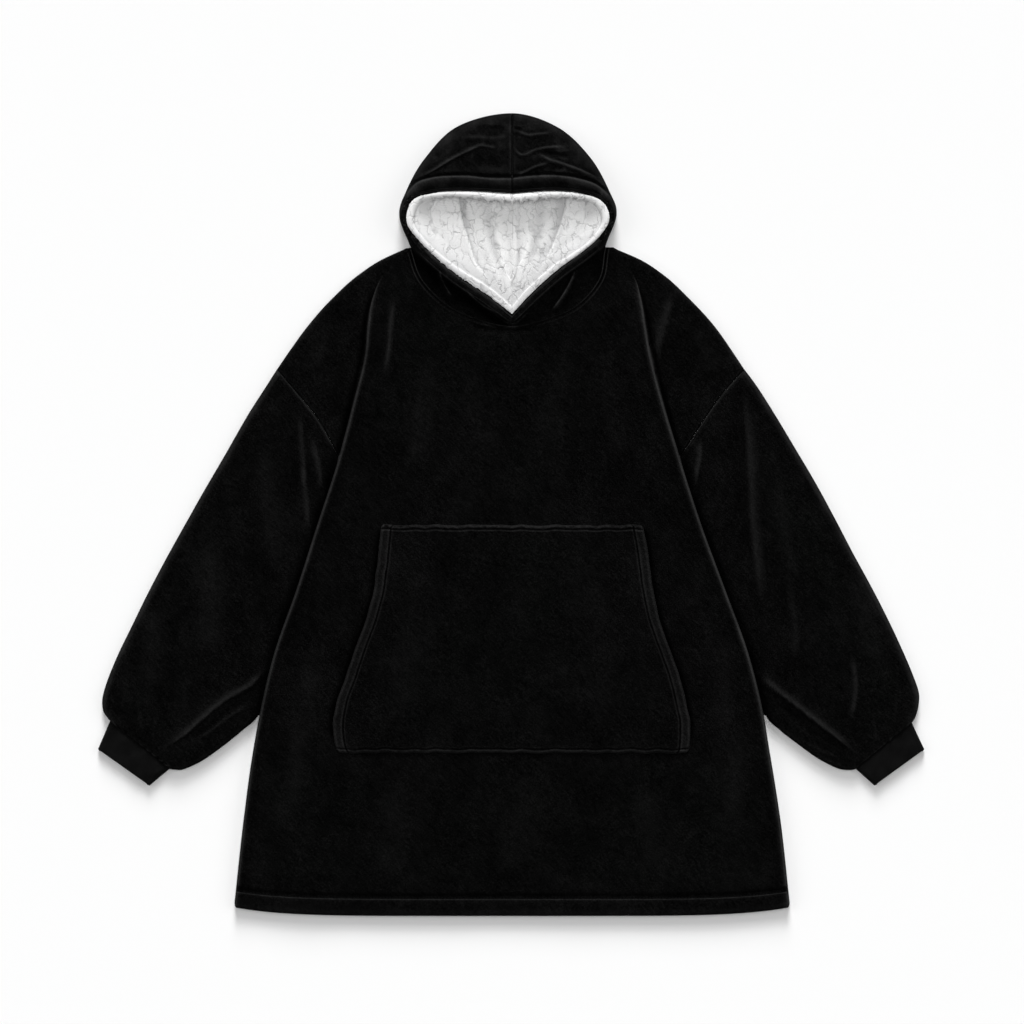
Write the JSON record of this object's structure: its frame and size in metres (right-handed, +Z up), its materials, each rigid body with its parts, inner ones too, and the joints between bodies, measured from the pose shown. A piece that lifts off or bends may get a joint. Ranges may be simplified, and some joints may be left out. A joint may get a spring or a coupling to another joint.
{
  "type": "sherpa hoodie",
  "caption": "Oversized plush pullover laid flat, with a sherpa-lined hood, wide dropped shoulders, balloon sleeves, knitted cuffs and a front pouch pocket.",
  "frame": {"origin": "middle of the garment's outline, on the surface it lies on", "axes": "+X across the chest towards the picture's right, +Y from the hem to the hood, +Z up from the surface"},
  "size_m": [1.071, 1.042, 0.0406],
  "materials": {
    "plush_black": "black short-pile plush, matt with a soft sheen",
    "rib_black": "smooth dark knit, matt",
    "sherpa_white": "white curly sherpa pile, matt"
  },
  "bodies": {
    "root": {"front": "plush_black", "back": "plush_black", "pocket": "plush_black", "sleeve_left": "plush_black", "sleeve_right": "plush_black", "cuff_left": "rib_black", "cuff_right": "rib_black", "hood_left": "plush_black", "hood_right": "plush_black", "hood_lining_left": "sherpa_white", "hood_lining_right": "sherpa_white"}
  },
  "joints": []
}
